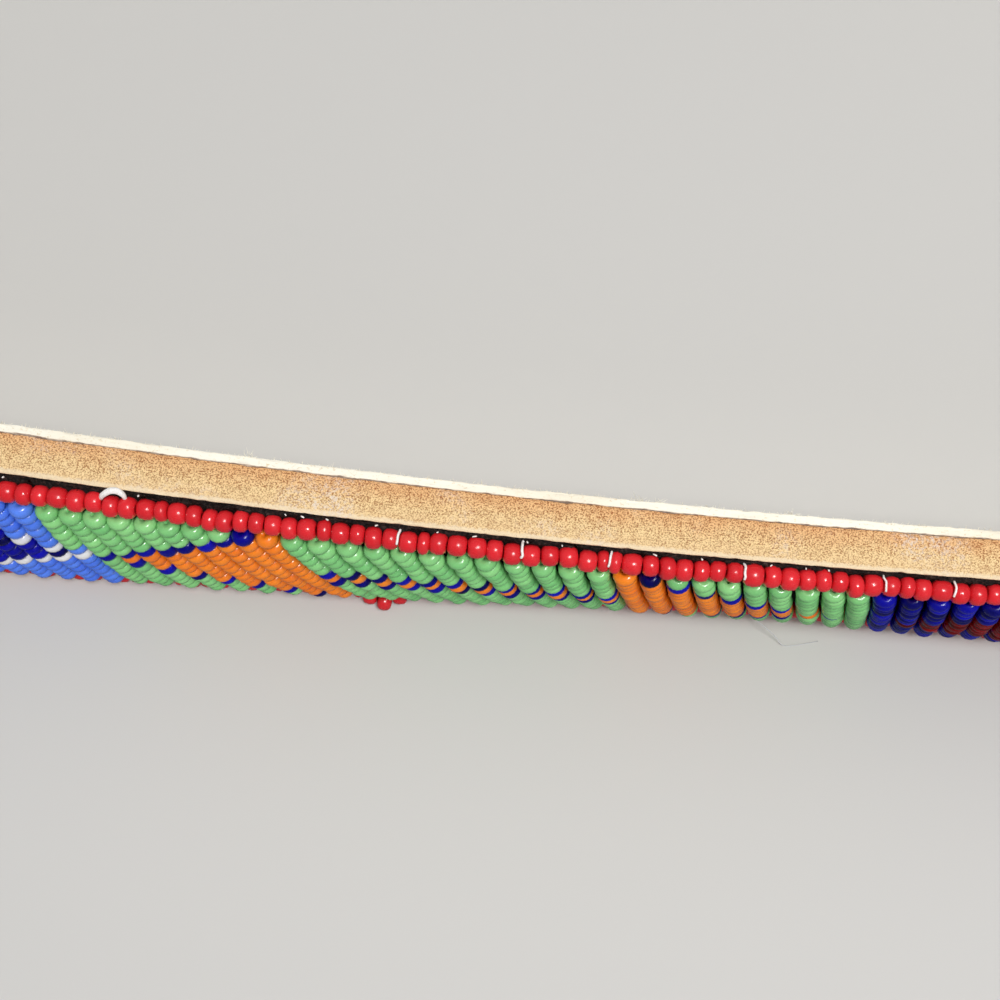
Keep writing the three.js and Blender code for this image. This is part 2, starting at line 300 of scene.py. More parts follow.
def mixed(tree, share, first, second, blend="MIX"):
    inputs = {0: share, 6: first, 7: second}
    return node(tree, "Mix", inputs, data_type="RGBA", blend_type=blend).outputs[2]


def ranged(tree, value, low, high, to_low=0.0, to_high=1.0):
    inputs = {"Value": value, "From Min": low, "From Max": high}
    inputs |= {"To Min": to_low, "To Max": to_high}
    return node(tree, "MapRange", inputs).outputs["Result"]


def maths(tree, operation, *values):
    return node(tree, "Math", dict(enumerate(values)), operation=operation).outputs[0]


def noise(tree, vector, scale, detail, **more):
    inputs = {"Vector": vector, "Scale": scale, "Detail": detail, **more}
    return node(tree, "TexNoise", inputs).outputs["Fac"]


def vector_maths(tree, operation, *values):
    return node(tree, "VectorMath", dict(enumerate(values)), operation=operation).outputs[0]


def attribute(tree, name):
    return node(tree, "Attribute", attribute_name=name)


def object_place(tree):
    return node(tree, "TexCoord").outputs["Object"]


def new_group(name, inputs, outputs):
    group = bpy.data.node_groups.new(name, "ShaderNodeTree")
    for label, kind, value in inputs:
        socket = group.interface.new_socket(label, in_out="INPUT", socket_type="NodeSocket" + kind)
        if value is not None:
            socket.default_value = value
    for label, kind in outputs:
        group.interface.new_socket(label, in_out="OUTPUT", socket_type="NodeSocket" + kind)
    inside = group.nodes.new("NodeGroupInput").outputs
    return group, inside, group.nodes.new("NodeGroupOutput").inputs


def placed_group(tree, group, inputs):
    made = node(tree, "Group", node_tree=group)
    for key, value in inputs.items():
        feed(tree, made.inputs[key], value)
    return made.outputs


def new_material(name):
    material = bpy.data.materials.new(name)
    material.use_nodes = True
    tree = material.node_tree
    return material, tree, tree.nodes["Principled BSDF"]


def surface(tree, shader, base, roughness, relief=None, **constants):
    """Joins a finish to its shader. relief is a height, a strength and a depth in metres."""
    feed(tree, shader.inputs["Base Color"], base)
    feed(tree, shader.inputs["Roughness"], roughness)
    if relief:
        inputs = dict(zip(("Height", "Strength", "Distance"), relief))
        tree.links.new(node(tree, "Bump", inputs).outputs["Normal"], shader.inputs["Normal"])
    for label, value in constants.items():
        shader.inputs[label.replace("_", " ")].default_value = value


# %% Shared effect: cut or brushed fibres
fibre_group, inside, result = new_group(
    "Leather fibres",
    [("Place", "Vector", None), ("Stretch", "Vector", (1, 1, 1)), ("Grain Size", "Float", 0.3),
     ("Light", "Color", (1, 1, 1, 1)), ("Dark", "Color", (0, 0, 0, 1)),
     ("Dark Share", "Float", 0.4)],
    [("Color", "Color"), ("Height", "Float")],
)
tree = fibre_group
place = vector_maths(tree, "MULTIPLY", inside["Place"], inside["Stretch"])
per_mm = maths(tree, "DIVIDE", 1.0, inside["Grain Size"])
fine = noise(tree, place, per_mm, 2.0, Roughness=0.6, Distortion=0.4)
coarse = noise(tree, place, maths(tree, "MULTIPLY", per_mm, 0.22), 2.0)
clumps = maths(tree, "MULTIPLY", maths(tree, "SUBTRACT", coarse, 0.5), 0.2)
level = maths(tree, "ADD", fine, clumps)
edge = ranged(tree, inside["Dark Share"], 0, 1, 0.22, 0.78)
dark = ranged(tree, level, maths(tree, "ADD", edge, 0.08), maths(tree, "SUBTRACT", edge, 0.08))
tree.links.new(mixed(tree, dark, inside["Light"], inside["Dark"]), result["Color"])
tree.links.new(level, result["Height"])

# %% Shared effect: scuffs and dust in patches
scuff_group, inside, result = new_group(
    "Scuffs",
    [("Place", "Vector", None), ("Patch Size", "Float", 8.0), ("Mark Size", "Float", 0.5),
     ("Amount", "Float", 0.3)],
    [("Mask", "Float")],
)
tree = scuff_group
patch = noise(tree, inside["Place"], maths(tree, "DIVIDE", 1.0, inside["Patch Size"]), 2.0)
per_mark = maths(tree, "DIVIDE", 1.0, inside["Mark Size"])
mark = noise(tree, inside["Place"], per_mark, 4.0, Roughness=0.7)
marked = maths(tree, "MULTIPLY", ranged(tree, patch, 0.5, 0.68), ranged(tree, mark, 0.48, 0.62))
tree.links.new(maths(tree, "MULTIPLY", marked, inside["Amount"]), result["Mask"])

# %% Shared effect: a skin side's pebbled grain
grain_group, inside, result = new_group(
    "Leather grain",
    [("Place", "Vector", None), ("Pebble Size", "Float", 0.7)],
    [("Height", "Float"), ("Crease", "Float")],
)
tree = grain_group
per_mm = maths(tree, "DIVIDE", 1.0, inside["Pebble Size"])
bend_inputs = {"Vector": inside["Place"], "Scale": maths(tree, "MULTIPLY", per_mm, 0.8)}
bent = node(tree, "TexNoise", {**bend_inputs, "Detail": 2.0}).outputs["Color"]
shifted = vector_maths(tree, "ADD", inside["Place"], bent)
cell_inputs = {"Vector": shifted, "Scale": per_mm}
cells = node(tree, "TexVoronoi", cell_inputs, feature="DISTANCE_TO_EDGE").outputs["Distance"]
crease = ranged(tree, cells, 0.0, 0.14, 1.0, 0.0)
pores = noise(tree, inside["Place"], maths(tree, "MULTIPLY", per_mm, 4.0), 3.0)
height = maths(tree, "SUBTRACT", maths(tree, "MULTIPLY", pores, 0.35), crease)
tree.links.new(height, result["Height"])
tree.links.new(crease, result["Crease"])

# %% Shared effect: how one glass bead differs from the next
bead_group, inside, result = new_group(
    "Bead glass",
    [("Color", "Color", (1, 1, 1, 1)), ("Deep Color", "Color", (0, 0, 0, 1)),
     ("Variety", "Float", 0.3)],
    [("Color", "Color"), ("Roughness", "Float"), ("Height", "Float")],
)
tree = bead_group
cloud = noise(tree, object_place(tree), 900.0, 3.0, Roughness=0.6)
pit = noise(tree, object_place(tree), 3600.0, 2.0)
share = maths(tree, "MULTIPLY", attribute(tree, "shade").outputs["Fac"], inside["Variety"])
share = maths(tree, "ADD", share, ranged(tree, cloud, 0.45, 0.75, 0.0, 0.22))
tree.links.new(mixed(tree, share, inside["Color"], inside["Deep Color"]), result["Color"])
tree.links.new(ranged(tree, cloud, 0.35, 0.7, 0.2, 0.36), result["Roughness"])
tree.links.new(ranged(tree, pit, 0.3, 0.7), result["Height"])
print("shared effects:", [g.name for g in bpy.data.node_groups])

# %% [markdown]
# ## Leather finishes
#
# Three leathers meet at the cut edge. The core is thick vegetable tanned hide whose cut
# edge shows pale and brown fibres, redder towards the waist, with a pale rim where it was
# skived on the outer side. The lining is soft cream leather with a fuzzy cut. The dark
# leather under the beads is nearly black. Each finish reads its place on the straight belt
# to know which side of the strap it is on.

# %% Where the dressed layers end, outwards from the core's middle
cut_inner, cut_outer = -2.13, 1.98  # the core's two faces
rim_flare = 0.52  # of the core's cut edge over the outer face
lining_outer = -2.12
dark_inner, dark_outer = 2.0, 3.0


# %% Core
def belt_place(tree):
    """The place on the straight belt, and its distance, height and outwards parts."""
    vector = attribute(tree, "place").outputs["Vector"]
    return vector, *node(tree, "SeparateXYZ", {0: vector}).outputs


core_leather, tree, shader = new_material("tan_core_leather")
place, distance, height, outwards = belt_place(tree)
fibres = placed_group(tree, fibre_group, {
    "Place": place, "Grain Size": 0.2, "Stretch": (1.0, 1.0, 1.2), "Dark Share": 0.44,
    "Light": colour(252, 220, 164), "Dark": colour(172, 118, 72),
})
waver = ranged(tree, noise(tree, place, 0.35, 3.0), 0.3, 0.7, -0.5, 0.5)
bent_outwards = maths(tree, "ADD", outwards, waver)
red_share = ranged(tree, bent_outwards, 0.5, -1.9, 0.0, 0.6)
cut_colour = mixed(tree, red_share, fibres["Color"], colour(240, 196, 172), "MULTIPLY")
pale_share = ranged(tree, bent_outwards, 0.3, 1.9, 0.0, 0.3)
cut_colour = mixed(tree, pale_share, cut_colour, colour(240, 208, 160))
rim_wave = ranged(tree, noise(tree, place, 2.6, 3.0), 0.3, 0.7, -0.16, 0.16)
rim = ranged(tree, maths(tree, "ADD", outwards, rim_wave), 1.86, 2.1)
cut_colour = mixed(tree, maths(tree, "MULTIPLY", rim, 0.8), cut_colour, colour(248, 226, 190))
scuffs = placed_group(tree, scuff_group, {
    "Place": place, "Patch Size": 9.0, "Mark Size": 0.35, "Amount": 0.75,
})
cut_colour = mixed(tree, scuffs["Mask"], cut_colour, colour(240, 226, 214))
grain = placed_group(tree, grain_group, {"Place": place, "Pebble Size": 0.55})
skin = ranged(tree, noise(tree, place, 0.12, 4.0), 0.3, 0.7)
skin_colour = mixed(tree, skin, colour(168, 104, 56), colour(212, 154, 98))
# Painted shade: the skin colour darkens in the grain's creases, where the bump already dips.
crease_shade = maths(tree, "MULTIPLY", grain["Crease"], 0.55)
skin_colour = mixed(tree, crease_shade, skin_colour, colour(120, 72, 38))
from_middle = maths(tree, "ABSOLUTE", maths(tree, "SUBTRACT", height, mid_height))
on_side = ranged(tree, from_middle, mid_height - 0.2, mid_height - 0.4)
before_end = ranged(tree, distance, strap_length - 0.02, strap_length - 0.2)
on_side = maths(tree, "MULTIPLY", on_side, before_end)
on_cut = maths(tree, "SUBTRACT", 1.0, on_side)
cut_relief = maths(tree, "MULTIPLY", fibres["Height"], on_cut)
skin_relief = maths(tree, "MULTIPLY", maths(tree, "MULTIPLY", grain["Height"], on_side), 0.5)
surface(
    tree, shader, mixed(tree, on_side, cut_colour, skin_colour),
    ranged(tree, on_side, 0, 1, 0.92, 0.52),
    (maths(tree, "ADD", cut_relief, skin_relief), 0.8, 0.00022), Specular_IOR_Level=0.3,
)

# %% Lining
lining_leather, tree, shader = new_material("cream_lining_leather")
place, distance, height, outwards = belt_place(tree)
fibres = placed_group(tree, fibre_group, {
    "Place": place, "Grain Size": 0.42, "Stretch": (1.0, 1.0, 1.6), "Dark Share": 0.2,
    "Light": colour(252, 246, 228), "Dark": colour(226, 208, 172),
})
handled = ranged(tree, noise(tree, place, 0.06, 4.0), 0.45, 0.8, 0.0, 0.5)
lining_colour = mixed(tree, handled, fibres["Color"], colour(222, 200, 160))
# A broken brown line along the lining's edge where it meets the core.
near_core = ranged(tree, outwards, -2.2, -2.14)
seam_breaks = ranged(tree, noise(tree, place, 1.1, 3.0), 0.38, 0.6, 0.25, 0.85)
dark_seam = maths(tree, "MULTIPLY", near_core, seam_breaks)
surface(
    tree, shader, mixed(tree, dark_seam, lining_colour, colour(140, 98, 62)), 0.95,
    (fibres["Height"], 0.6, 0.00012),
    Sheen_Weight=0.35, Sheen_Roughness=0.6, Specular_IOR_Level=0.2,
)

# %% Dark leather
dark_leather, tree, shader = new_material("dark_backing_leather")
place, distance, height, outwards = belt_place(tree)
fibres = placed_group(tree, fibre_group, {
    "Place": place, "Grain Size": 0.28, "Stretch": (1.0, 1.0, 1.4), "Dark Share": 0.62,
    "Light": colour(52, 33, 28), "Dark": colour(15, 10, 9),
})
grain = placed_group(tree, grain_group, {"Place": place, "Pebble Size": 0.8})
scuffs = placed_group(tree, scuff_group, {
    "Place": place, "Patch Size": 5.0, "Mark Size": 0.3, "Amount": 0.35,
})
pebbles = maths(tree, "MULTIPLY", grain["Height"], 0.3)
surface(
    tree, shader, mixed(tree, scuffs["Mask"], fibres["Color"], colour(116, 92, 84)),
    ranged(tree, fibres["Height"], 0.3, 0.7, 0.85, 0.6),
    (maths(tree, "ADD", fibres["Height"], pebbles), 0.8, 0.0002), Specular_IOR_Level=0.3,
)
print("leathers:", core_leather.name, lining_leather.name, dark_leather.name)

# %% [markdown]
# ## Glass finishes
#
# Seed beads are glass. The red, orange, green, blue and white ones are opaque and glossy,
# with a clear surface over a saturated body. The navy and garnet ones are see-through glass
# over dark leather, so nearly all light stays in them: they get a deep colour, a large
# difference between beads and a weaker surface shine, which leaves only the lamp's glint.
# The navy's brighter beads stand in partly for light glowing through the glass.

# %% Bead finishes
# name: body colour, deeper colour, variety, surface shine
bead_rows = {
    "red": (colour(228, 40, 48), colour(186, 16, 26), 0.4, 0.4),
    "orange": (colour(255, 144, 36), colour(236, 106, 16), 0.5, 0.4),
    "green": (colour(150, 220, 140), colour(94, 180, 104), 0.5, 0.4),
    "blue": (colour(94, 142, 250), colour(48, 94, 226), 0.5, 0.4),
    "white": (colour(244, 242, 240), colour(216, 214, 220), 0.5, 0.4),
    # navy: the bright body is partly a random difference, partly painted glow of light inside the
    # glass
    "navy": (colour(16, 16, 180), colour(2, 2, 56), 0.9, 0.15),
    "garnet": (colour(148, 8, 14), colour(70, 0, 3), 0.9, 0.15),
}
bead_materials = {}
for name, (body, deep, variety, shine) in bead_rows.items():
    material, tree, shader = new_material(f"{name}_bead_glass")
    glass = placed_group(tree, bead_group, {"Color": body, "Deep Color": deep, "Variety": variety})
    surface(
        tree, shader, glass["Color"], glass["Roughness"], (glass["Height"], 0.25, 0.00004),
        Coat_Weight=shine, Coat_Roughness=0.12, Specular_IOR_Level=shine * 1.25,
    )
    bead_materials[name] = material
print("bead finishes:", list(bead_materials))

# %% Thread and steel finishes
thread_white, tree, shader = new_material("white_thread")
twist = noise(tree, object_place(tree), 6000.0, 2.0)
white = mixed(tree, ranged(tree, twist, 0.35, 0.7), colour(254, 252, 250), colour(234, 228, 220))
surface(tree, shader, white, 0.7, (twist, 0.5, 0.00005))

clear_nylon, tree, shader = new_material("clear_nylon")
glint = noise(tree, object_place(tree), 900.0, 2.0)
clear = mixed(tree, glint, colour(252, 252, 255), colour(206, 206, 212))
surface(tree, shader, clear, 0.15, Transmission_Weight=0.3)

steel, tree, shader = new_material("satin_steel")
brush_place = vector_maths(tree, "MULTIPLY", object_place(tree), (60, 900, 2600))
brushed = noise(tree, brush_place, 1.0, 3.0)
scuffs = placed_group(tree, scuff_group, {
    "Place": vector_maths(tree, "MULTIPLY", object_place(tree), (1000, 1000, 1000)),
    "Patch Size": 6.0, "Mark Size": 0.5, "Amount": 0.5,
})
surface(
    tree, shader, mixed(tree, scuffs["Mask"], colour(222, 220, 214), colour(160, 154, 144)),
    ranged(tree, brushed, 0.3, 0.7, 0.3, 0.48), (brushed, 0.15, 0.00004), Metallic=0.85,
)

# %% [markdown]
# ## The strap's three leathers
#
# Each layer is a closed section that is swept along the belt in small steps, finest where
# the photograph looks. The cut edge on top isn't flat: a knife leaves it slightly ragged and
# the fibres stand up, so the upper corners and edge move by seeded noise. Sweeping in code
# was chosen over a curve with a bevel, because the section's width, lean and raggedness
# change along the belt.

# %% Seeded noise along the belt
def wavy(seed, places, wavelength, size):
    """Smooth random numbers along the belt, the same at every run."""
    rng = np.random.default_rng(seed)
    knots = rng.normal(0, size, int(1100 / wavelength) + 8)
    at = np.asarray(places) / wavelength + 2
    low = at.astype(int)
    t = smooth(at - low)
    return knots[low] * (1 - t) + knots[low + 1] * t


# %% Stations: fine where the photograph looks, coarser elsewhere
fine_stretch, fine_step, coarse_step = 68, 0.4, 2.2


def stations(start, end, extra=()):
    steps = [start]
    while steps[-1] < end - 1e-6:
        near = abs(steps[-1] - front_middle) < fine_stretch
        steps.append(min(end, steps[-1] + (fine_step if near else coarse_step)))
    return np.array(sorted({*steps, *extra}))


def width_at(distance):
    into_round = np.clip(distance - (strap_length - tip_round), 0, None)
    round_share = np.sqrt(np.clip(1 - (into_round / tip_round) ** 2, 0, 1))
    return np.maximum(tip_blunt, between(width_rows, distance) * round_share)


# %% One layer of leather
tip_shares = (0.9, 0.75, 0.6, 0.45, 0.32, 0.2, 0.1, 0.04)  # of the round tip, from its end


def leather_layer(name, material, seed, inner, outer, across, ragged, span=None, lip=0, inset=0):
    """Sweeps a section with round corners.

    across is the number of points over the cut edge, ragged how far its corners move, and
    lip how far it flares. A layer without a span runs the whole length and narrows with the
    billets and the tip.
    """
    if span:
        along = stations(*span)
    else:
        along = stations(0, strap_length, [strap_length - tip_round * s for s in tip_shares])
    corner = min(0.16, (outer - inner) * 0.2)
    eased = corner * 0.3
    top, low = strap_width - inset, inset
    middle = (low + top) / 2

    def over_edge(at, way, places):
        """The points over a cut edge, whose first and last lie a little back."""
        last = len(places) - 1
        backs = [corner * 0.25 if i in (0, last) else 0 for i in range(last + 1)]
        return [(at - way * back, v) for back, v in zip(backs, places)]

    section = [(low + corner, inner), (middle, inner), (top - 1.4, inner), (top - corner, inner)]
    section += over_edge(top, 1, np.linspace(inner + eased, outer + lip - eased, across))
    section += [(top - corner, outer + lip), (top - 1.5, outer), (middle, outer)]
    section += [(low + corner, outer)]
    section += over_edge(low, -1, np.linspace(outer - eased, inner + eased, 4))
    section = np.array(section)
    count = len(section)
    distance = np.repeat(along[:, None], count, 1)
    height = np.repeat(section[None, :, 0], len(along), 0)
    outwards = np.repeat(section[None, :, 1], len(along), 0)
    place = np.stack([distance, height, outwards], -1)
    for index in range(4, 4 + across):
        move = wavy(seed + index, along, 0.9, ragged * 0.5)
        move = move + wavy(seed + 50 + index // 3, along, 4.0, ragged * 0.5)
        height[:, index] += np.clip(move, -3 * ragged, 0.6 * ragged) - 0.25 * ragged
    for index, way in ((3, -1), (4, -1), (3 + across, 1), (4 + across, 1)):
        move = wavy(seed + 90 + way, along, 0.8, ragged * 0.5)
        move = move + wavy(seed + 95 + way, along, 3.0, ragged * 0.4)
        outwards[:, index] -= way * np.abs(move)
    if not span:
        narrowed = (width_at(along) / strap_width)[:, None]
        height = mid_height + (height - mid_height) * narrowed
    points = on_belt(distance, height, outwards).reshape(-1, 3)
    faces = ring_faces(len(along), count)
    return make_piece(name, points, faces, [material], place=place.reshape(-1, 3))


core = leather_layer(
    "core_leather", core_leather, 100, cut_inner, cut_outer, 17, 0.07, lip=rim_flare)
lining = leather_layer(
    "lining_leather", lining_leather, 300, lining_inner, lining_outer, 8, 0.09)
backing = leather_layer(
    "backing_leather", dark_leather, 500, dark_inner, dark_outer, 6, 0.36,
    span=(beaded_start - backing_margin, beaded_end + backing_margin), inset=0.75)

# %% [markdown]
# ## The punched holes
#
# Five holes go through the core and the lining of the tip, and the buckle's prong comes up
# through the middle one. A round punch leaves a clean wall, so a Boolean with one mesh of
# five round cutters is the plain way. The cutters carry a place too, for the leather's finish.

# %% Punching the tip
hole_radius = 2.3
hole_spacing = 25.0
holes_each_way = 2
hole_sides = 28
prong_inset = 7.8  # from the buckle's heel to the hole in use


def hole_cutters():
    points, faces, place = [], [], []
    turn = full_turn(hole_sides)
    for i in range(-holes_each_way, holes_each_way + 1):
        at = fastened_length - prong_inset + i * hole_spacing
        across = at + hole_radius * np.cos(turn)
        height = mid_height + hole_radius * np.sin(turn)
        faces += ring_faces(2, hole_sides, len(points) * hole_sides)
        for outwards in (lining_inner - 0.12, core_outer + 0.3):
            points.append(on_belt(across, height, outwards))
            place.append(np.stack([across, height, np.full(hole_sides, outwards)], -1))
    places = np.concatenate(place)
    return make_piece("punch", np.concatenate(points), faces, [], rounded=False, place=places)


def known_places(*pieces):
    """Every point of the pieces with its place on the straight belt, ready to look up."""
    tree, places = kdtree.KDTree(sum(len(piece.data.vertices) for piece in pieces)), []
    for piece in pieces:
        values = piece.data.attributes["place"].data
        for vertex, value in zip(piece.data.vertices, values):
            tree.insert(vertex.co, len(places))
            places.append(tuple(value.vector))
    tree.balance()
    return tree, places


def punch(leather, cutters):
    """The Boolean empties the places, so they are looked up again afterwards."""
    tree, places = known_places(leather, cutters)
    cut = leather.modifiers.new("punch", "BOOLEAN")
    cut.object = cutters
    cut.solver = "EXACT"
    ready = leather.evaluated_get(bpy.context.evaluated_depsgraph_get())
    mesh = bpy.data.meshes.new_from_object(ready)
    leather.modifiers.clear()
    leather.data = mesh
    found = np.array([places[tree.find(vertex.co)[1]] for vertex in mesh.vertices], np.float32)
    mesh.attributes["place"].data.foreach_set("vector", found.ravel())
    mesh.set_sharp_from_angle(angle=math.radians(60))
    print(leather.name, "punched,", len(mesh.polygons), "faces")


cutters = hole_cutters()
punch(core, cutters)
punch(lining, cutters)
bpy.data.objects.remove(cutters)
finish_piece(core, "tan_leather", "strap_core")
finish_piece(lining, "cream_leather", "back_lining")
finish_piece(backing, "dark_leather", "bead_backing")

# %% [markdown]
# ## The bead
#
# A seed bead is a short slice of drawn glass tube that was tumbled in heat, so its edges
# are round and its ends nearly flat, with a hole for the thread. Its half section is a
# rounded box, turned round the thread: one template, which is then copied by arrays.

# %% The bead's template
bead_squareness = 2.7
bead_hole = 0.16  # share of the radius


def bead_template(around, bands):
    """Points of a bead of length 2 and radius 1, with its axis on x, and its quads."""
    angle = np.linspace(-math.pi / 2, math.pi / 2, bands + 1)
    power = 2 / bead_squareness
    along = np.sign(np.sin(angle)) * np.abs(np.sin(angle)) ** power
    radius = bead_hole + (1 - bead_hole) * np.abs(np.cos(angle)) ** power
    along, radius = along[:, None], radius[:, None]
    turn = full_turn(around)[None]
    points = [np.repeat(along, around, 1), radius * np.cos(turn), radius * np.sin(turn)]
    quads = ring_faces(bands + 1, around, closed=True, turned=True)
    return np.stack(points, -1).reshape(-1, 3), np.array(quads)


def string_beads(name, template, centre, along, outward, length, radius, colours, seed):
    """One mesh of many beads. along and outward are unit vectors per bead, in mm space."""
    points, quads = template
    side = np.cross(outward, along)
    axes = np.stack([along, outward, side], 1)
    scaled = points[None] * np.stack([length / 2, radius, radius], -1)[:, None]
    placed = centre[:, None] + np.einsum("nvk,nkc->nvc", scaled, axes)
    firsts = np.arange(len(centre)) * len(points)
    faces = (quads[None] + firsts[:, None, None]).reshape(-1, 4).tolist()
    palette = sorted(set(colours))
    slots = np.repeat([palette.index(c) for c in colours], len(quads))
    shade = np.repeat(np.random.default_rng(seed).random(len(centre)), len(points))
    materials = [bead_materials[c] for c in palette]
    return make_piece(name, placed.reshape(-1, 3), faces, materials, slots, shade=shade)


def squared(outward, along):
    """The ways outwards, turned until they are square to the ways along the thread."""
    return unit(outward - along * np.sum(outward * along, 1)[:, None])


def tilted(along, outward, rng, degrees):
    """Turns each bead a little, as beads on a thread sit."""
    side = np.cross(outward, along)
    first, second = np.radians(rng.normal(0, degrees, (2, len(along))))
    along = unit(along + side * np.tan(first)[:, None] + outward * np.tan(second)[:, None])
    return along, squared(outward, along)


# %% [markdown]
# ## Charts of the panels
#
# A bead worker charts a pattern lane by lane. Each lane has fifteen beads from the upper
# edge down, and each panel repeats its own small figure: an orange bar with pointed ends on
# green, white-edged diamonds on blue, garnet diamonds on navy. So a chart is a rule with a
# few numbers, and the lanes follow from it.

# %% Charts
middle_row = beads_in_lane // 2
last_lane = lanes_in_panel - 1
bar_lanes = range(10, 22)


def green_lane(lane):
    """A thin bar between two points, each of them with its navy tip a lane from the end."""
    beads = ["green"] * beads_in_lane
    if lane in (1, last_lane - 1):
        beads[middle_row] = "navy"
    half = lane - 2 if lane < bar_lanes.start else last_lane - 2 - lane
    if lane in bar_lanes:
        beads[middle_row - 1 : middle_row + 2] = ["navy", "orange", "navy"]
    elif half >= 0:
        for row in range(beads_in_lane):
            off = abs(row - middle_row)
            if off <= half:
                beads[row] = "orange"
            elif off == half + 1 and lane != last_lane - 2:
                beads[row] = "navy"
    return beads


def diamond_lane(lane, field, edge, filling, start):
    """Two diamonds a panel, sixteen lanes each, that meet in a point."""
    half = min(lane % 16, 15 - lane % 16) - start
    beads = [field] * beads_in_lane
    for row in range(beads_in_lane):
        off = abs(row - middle_row)
        if off < half or (off == half and edge == filling):
            beads[row] = filling
        elif off == half:
            beads[row] = edge
    return beads


def chart(panel_colour):
    lanes = range(lanes_in_panel)
    if panel_colour == "green":
        return [green_lane(lane) for lane in lanes]
    if panel_colour == "blue":
        return [diamond_lane(lane, "blue", "white", "navy", -1) for lane in lanes]
    return [diamond_lane(lane, "navy", "garnet", "garnet", 1) for lane in lanes]


def panel_lanes(index):
    """A chart, with the last blue point finished in the next panel's first lane."""
    lanes = chart(panel_colours[index])
    if index and panel_colours[index - 1] == "blue":
        lanes[0] = lanes[0][: middle_row - 1] + ["blue", "white"] + ["blue"] * middle_row
    return lanes


for row in list(zip(*panel_lanes(3)))[5:10]:
    print("".join(bead[0] for bead in row))

# %% [markdown]
# ## The bead panels
#
# Lane stitch: a thread comes up through the leather at one edge, takes fifteen beads, and
# goes down at the other edge. The string is a little longer than the strap is wide, so each
# lane stands off the leather in an arc. The arc and the slant are those of the solids. Each
# bead sits a little askew and none is quite as long as the next.

# %% Lanes
lane_reach = mid_height - edge_margin - bead_diameter - seat_gap
lane_radius = lane_reach / math.sin(lane_end_angle)
hump_centre = bead_seat + bead_radius - lane_radius * math.cos(lane_end_angle)
lane_string = 2 * lane_end_angle * lane_radius
bead_overlap = 1.03  # neighbours' rounded ends touch
near_bead = bead_template(16, 6)
far_bead = bead_template(12, 5)
near_panels = (2, 3, 4)
print(f"bead pitch in a lane {lane_string / beads_in_lane:.3f} mm")


def lane_place(start, arc):
    """Places of points on lanes: start is the lane's distance, arc the angle from its middle."""
    height = mid_height + lane_radius * np.sin(arc)
    outwards = hump_centre + lane_radius * np.cos(arc)
    return start - (height - mid_height) * slope_at(slant_rows, start), height, outwards


def bead_panel(index):
    colour_name = panel_colours[index]
    rng = np.random.default_rng(7000 + index)
    start = beaded_start + index * panel_length + (np.arange(lanes_in_panel) + 0.5) * lane_pitch
    start = start + rng.normal(0, 0.05, lanes_in_panel)
    uneven = 1.8 if colour_name == "navy" else 1.0
    share = rng.normal(1, 0.085 * uneven, (lanes_in_panel, beads_in_lane)).clip(0.7, 1.35)
    share /= share.sum(1)[:, None]
    strung = np.concatenate([np.zeros((lanes_in_panel, 1)), np.cumsum(share, 1)], 1)
    edges = lane_end_angle * (1 - 2 * strung)
    arc = ((edges[:, 1:] + edges[:, :-1]) / 2).ravel()
    start = np.repeat(start, beads_in_lane)
    nudge = 0.004
    distance, height, outwards = lane_place(start, arc)
    centre = on_belt(distance, height, outwards)
    along = on_belt(*lane_place(start, arc - nudge)) - on_belt(*lane_place(start, arc + nudge))
    along = unit(along)
    outward = on_belt(distance, height + np.sin(arc), outwards + np.cos(arc)) - centre
    along, outward = tilted(along, squared(outward, along), rng, 3.6 * uneven)
    radius = bead_radius * rng.normal(1.035, 0.025, len(arc)).clip(0.96, 1.09)
    centre = centre + outward * rng.normal(-0.05, 0.05, len(arc))[:, None]
    centre += np.cross(outward, along) * rng.normal(0, 0.05, len(arc))[:, None]
    piece = string_beads(
        f"beads_{index + 1}_{colour_name}", near_bead if index in near_panels else far_bead,
        centre, along, outward, share.ravel() * lane_string * bead_overlap, radius,
        [bead for lane in panel_lanes(index) for bead in lane], 8000 + index)
    finish_piece(piece, f"{colour_name}_beads", f"bead_panel_{index + 1}_{colour_name}")


for index in range(len(panel_colours)):
    bead_panel(index)

# %% [markdown]
# ## The strings of edge beads
#
# Along each edge a string of opaque red beads lies with its thread along the belt. They are
# picked from one bag, so now and then a thin one sits between two thick ones. The lower
# string has come loose at one spot, where its beads look out under the lanes.

# %% Edge strings
string_reach = mid_height - edge_margin - bead_radius
string_out = edge_beads_out + 0.2
loose_spot = front_middle - 11.3
loose_reach, loose_width = 1.95, 2.3
thin_share, thin_length = 0.12, 0.72


def edge_string(name, node_name, upward, seed):
    """A string of beads. Gives back the places of the joints between them."""
    rng = np.random.default_rng(seed)
    reach = upward * string_reach
    start = beaded_start - reach * slope_at(slant_rows, beaded_start)
    end = beaded_end - reach * slope_at(slant_rows, beaded_end)
    count = round((end - start) / edge_pitch)
    length = rng.normal(1, 0.1, count)
    thin = rng.random(count) < thin_share
    length = np.where(thin, thin_length, length).clip(0.66, 1.2)
    length *= (end - start) / length.sum()
    edges = start + np.concatenate([[0], np.cumsum(length)])
    distance = (edges[1:] + edges[:-1]) / 2
    height = mid_height + reach + rng.normal(0, 0.1, count).clip(-0.2, 0.2)
    outwards = string_out + rng.normal(0, 0.09, count)
    if upward < 0:
        bulge = np.exp(-(((distance - loose_spot) / loose_width) ** 2))
        outwards = outwards + loose_reach * bulge
    centre = on_belt(distance, height, outwards)
    along = on_belt(distance + 0.2, height, outwards) - on_belt(distance - 0.2, height, outwards)
    along = unit(along)
    outward = squared(on_belt(distance, height, outwards + 1) - centre, along)
    along, outward = tilted(along, outward, rng, 4.5)
    radius = bead_radius * rng.normal(1.0, 0.035, count).clip(0.92, 1.06)
    piece = string_beads(
        name, near_bead, centre, along, outward, length * bead_overlap, radius,
        ["red"] * count, seed + 1)
    finish_piece(piece, "red_beads", node_name)
    print(name, count, "beads")
    return edges


